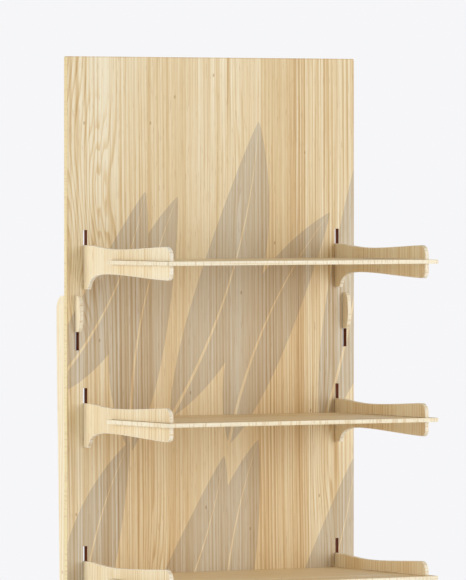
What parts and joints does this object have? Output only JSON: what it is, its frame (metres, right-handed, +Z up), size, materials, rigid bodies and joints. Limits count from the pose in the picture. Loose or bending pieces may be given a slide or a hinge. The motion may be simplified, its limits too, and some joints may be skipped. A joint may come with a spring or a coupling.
{
  "type": "wooden display rack",
  "caption": "Floor-standing wooden display rack: a tall board hangs on two footed side legs, and flat shelves slide into side arms that hook through slots in the board.",
  "frame": {"origin": "On the floor, below the middle of the rack from side to side and from front to back.", "axes": "+Z is up, +X is to the right as seen from the front, and the shelves face -Y."},
  "size_m": [0.6344, 0.6, 1.59],
  "materials": {
    "board_wood": "sanded pale veneered board with a clear matt lacquer and a faint printed pattern",
    "arm_wood": "sanded pale wood panel, clear matt lacquer, eased edges",
    "shelf_wood": "sanded pale wood panel, clear satin lacquer, eased edges",
    "leg_wood": "sanded pale wood panel, clear matt lacquer, eased edges",
    "rail_wood": "sanded pale wood panel, clear matt lacquer, eased edges"
  },
  "bodies": {
    "frame": {"left_leg": "leg_wood", "right_leg": "leg_wood", "upper_rail": "rail_wood", "lower_rail": "rail_wood"},
    "board": {"back_board": "board_wood"},
    "left_arm_1": {"left_arm_1": "arm_wood"},
    "right_arm_1": {"right_arm_1": "arm_wood"},
    "shelf_1": {"shelf_1": "shelf_wood"},
    "left_arm_2": {"left_arm_2": "arm_wood"},
    "right_arm_2": {"right_arm_2": "arm_wood"},
    "shelf_2": {"shelf_2": "shelf_wood"},
    "left_arm_3": {"left_arm_3": "arm_wood"},
    "right_arm_3": {"right_arm_3": "arm_wood"},
    "shelf_3": {"shelf_3": "shelf_wood"},
    "left_arm_4": {"left_arm_4": "arm_wood"},
    "right_arm_4": {"right_arm_4": "arm_wood"},
    "shelf_4": {"shelf_4": "shelf_wood"}
  },
  "joints": [
    {"name": "board_lift", "type": "slide", "parent": "frame", "child": "board", "axis": [0, 0, 1], "range_m": [0, 0.0345]},
    {"name": "left_arm_1_lift", "type": "slide", "parent": "board", "child": "left_arm_1", "axis": [0, 0, 1], "range_m": [0, 0.0284]},
    {"name": "right_arm_1_lift", "type": "slide", "parent": "board", "child": "right_arm_1", "axis": [0, 0, 1], "range_m": [0, 0.0284]},
    {"name": "shelf_1_slide", "type": "slide", "parent": "left_arm_1", "child": "shelf_1", "axis": [0, -1, 0], "range_m": [0, 0.22]},
    {"name": "left_arm_2_lift", "type": "slide", "parent": "board", "child": "left_arm_2", "axis": [0, 0, 1], "range_m": [0, 0.0284]},
    {"name": "right_arm_2_lift", "type": "slide", "parent": "board", "child": "right_arm_2", "axis": [0, 0, 1], "range_m": [0, 0.0284]},
    {"name": "shelf_2_slide", "type": "slide", "parent": "left_arm_2", "child": "shelf_2", "axis": [0, -1, 0], "range_m": [0, 0.22]},
    {"name": "left_arm_3_lift", "type": "slide", "parent": "board", "child": "left_arm_3", "axis": [0, 0, 1], "range_m": [0, 0.0284]},
    {"name": "right_arm_3_lift", "type": "slide", "parent": "board", "child": "right_arm_3", "axis": [0, 0, 1], "range_m": [0, 0.0284]},
    {"name": "shelf_3_slide", "type": "slide", "parent": "left_arm_3", "child": "shelf_3", "axis": [0, -1, 0], "range_m": [0, 0.22]},
    {"name": "left_arm_4_lift", "type": "slide", "parent": "board", "child": "left_arm_4", "axis": [0, 0, 1], "range_m": [0, 0.0284]},
    {"name": "right_arm_4_lift", "type": "slide", "parent": "board", "child": "right_arm_4", "axis": [0, 0, 1], "range_m": [0, 0.0284]},
    {"name": "shelf_4_slide", "type": "slide", "parent": "left_arm_4", "child": "shelf_4", "axis": [0, -1, 0], "range_m": [0, 0.22]}
  ],
  "couplings": [
    {"joint": "right_arm_1_lift", "follows": "left_arm_1_lift", "ratio": 1},
    {"joint": "right_arm_2_lift", "follows": "left_arm_2_lift", "ratio": 1},
    {"joint": "right_arm_3_lift", "follows": "left_arm_3_lift", "ratio": 1},
    {"joint": "right_arm_4_lift", "follows": "left_arm_4_lift", "ratio": 1}
  ]
}
